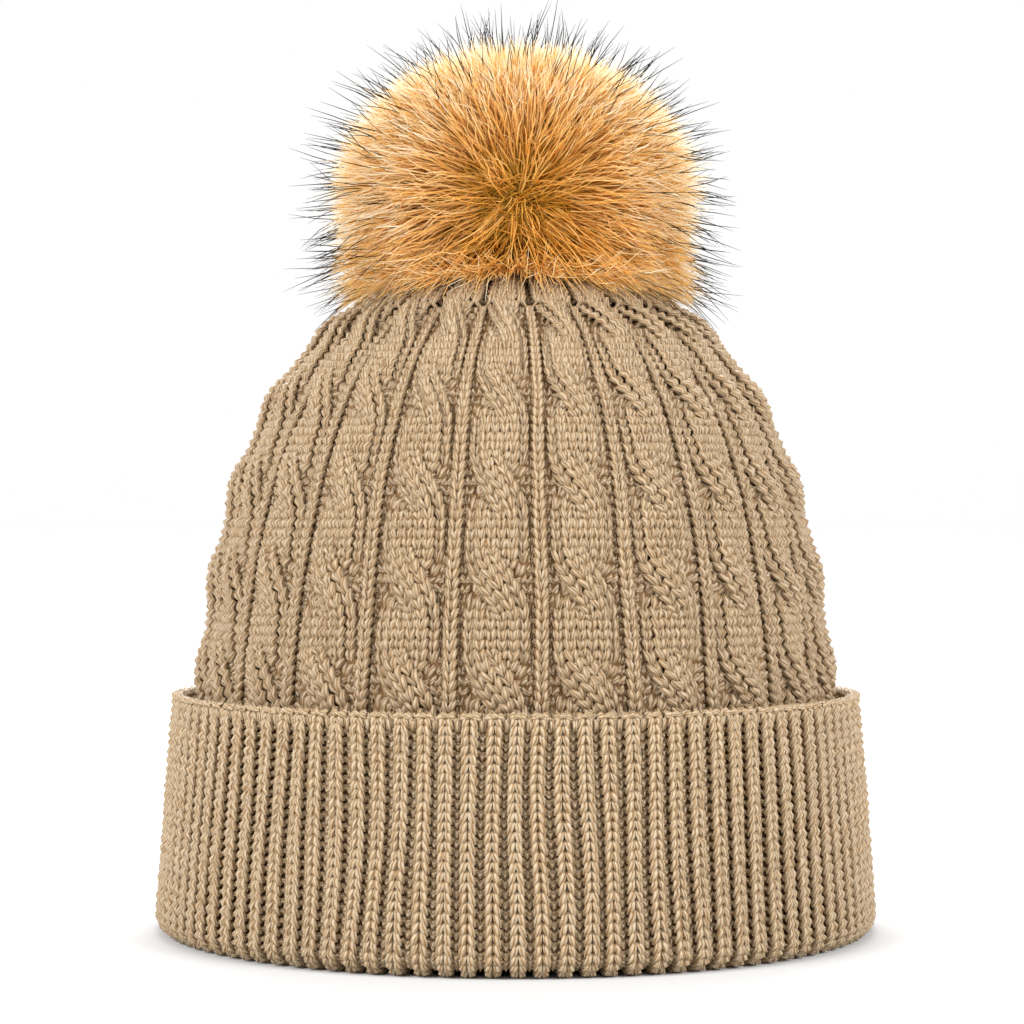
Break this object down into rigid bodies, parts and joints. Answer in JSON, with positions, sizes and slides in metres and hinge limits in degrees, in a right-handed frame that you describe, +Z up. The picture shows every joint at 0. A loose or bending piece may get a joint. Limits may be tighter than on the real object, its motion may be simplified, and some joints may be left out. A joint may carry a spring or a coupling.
{
  "type": "pom pom beanie",
  "caption": "Cable-knit beanie with a ribbed turn-up cuff, fleece lining and a removable faux-fur pom.",
  "frame": {"origin": "centre of the hat's footprint, on the surface it stands on", "axes": "+Z up along the crown's axis, the front faces -Y, the care label is at +Y"},
  "size_m": [0.1984, 0.1984, 0.246],
  "materials": {
    "knit": "beige twisted acrylic yarn, knitted",
    "fleece": "cream polyester fleece",
    "felt": "pressed felt",
    "thread": "twisted sewing thread",
    "snap_metal": "nickel-plated, pressed",
    "spring_wire": "drawn spring wire",
    "faux_fur": "long golden pile with dark tips",
    "filling": "polyester fibrefill",
    "label_satin": "woven satin tape"
  },
  "bodies": {
    "hat": {"cable_knit_crown": "knit", "rib_band": "knit", "rib_turn_up": "knit", "fleece_earband": "fleece", "lining_back_right": "fleece", "lining_back_left": "fleece", "lining_front_left": "fleece", "lining_front_right": "fleece", "lining_top_patch": "fleece", "crown_felt_disc": "felt", "crown_gather_thread": "thread", "snap_post": "snap_metal", "snap_stud": "snap_metal", "label_bartack": "thread"},
    "label": {"care_label": "label_satin"},
    "spring_ring": {"socket_spring": "spring_wire"},
    "pom_snap": {"snap_socket": "snap_metal", "snap_rivet_cap": "snap_metal", "pom_base_disc": "felt"},
    "pom": {"pom_fur_cover": "faux_fur", "pom_stuffing": "filling", "pom_drawstring": "thread"}
  },
  "joints": [
    {"name": "pom_pull", "type": "slide", "parent": "hat", "child": "spring_ring", "axis": [0, 0, 1], "range_m": [0, 0.06]},
    {"name": "pom_spin", "type": "hinge", "parent": "spring_ring", "child": "pom_snap", "pos_m": [0, 0, 0.1877], "axis": [0, 0, 1], "continuous": true},
    {"name": "pom_tilt", "type": "hinge", "parent": "pom_snap", "child": "pom", "pos_m": [0, 0, 0.192], "axis": [1, 0, 0], "range_deg": [-10, 10], "stiffness_Nm_per_rad": 0.08},
    {"name": "label_flip", "type": "hinge", "parent": "hat", "child": "label", "pos_m": [0, 0.0817, 0.0434], "axis": [-1, 0, 0], "range_deg": [0, 100]}
  ]
}
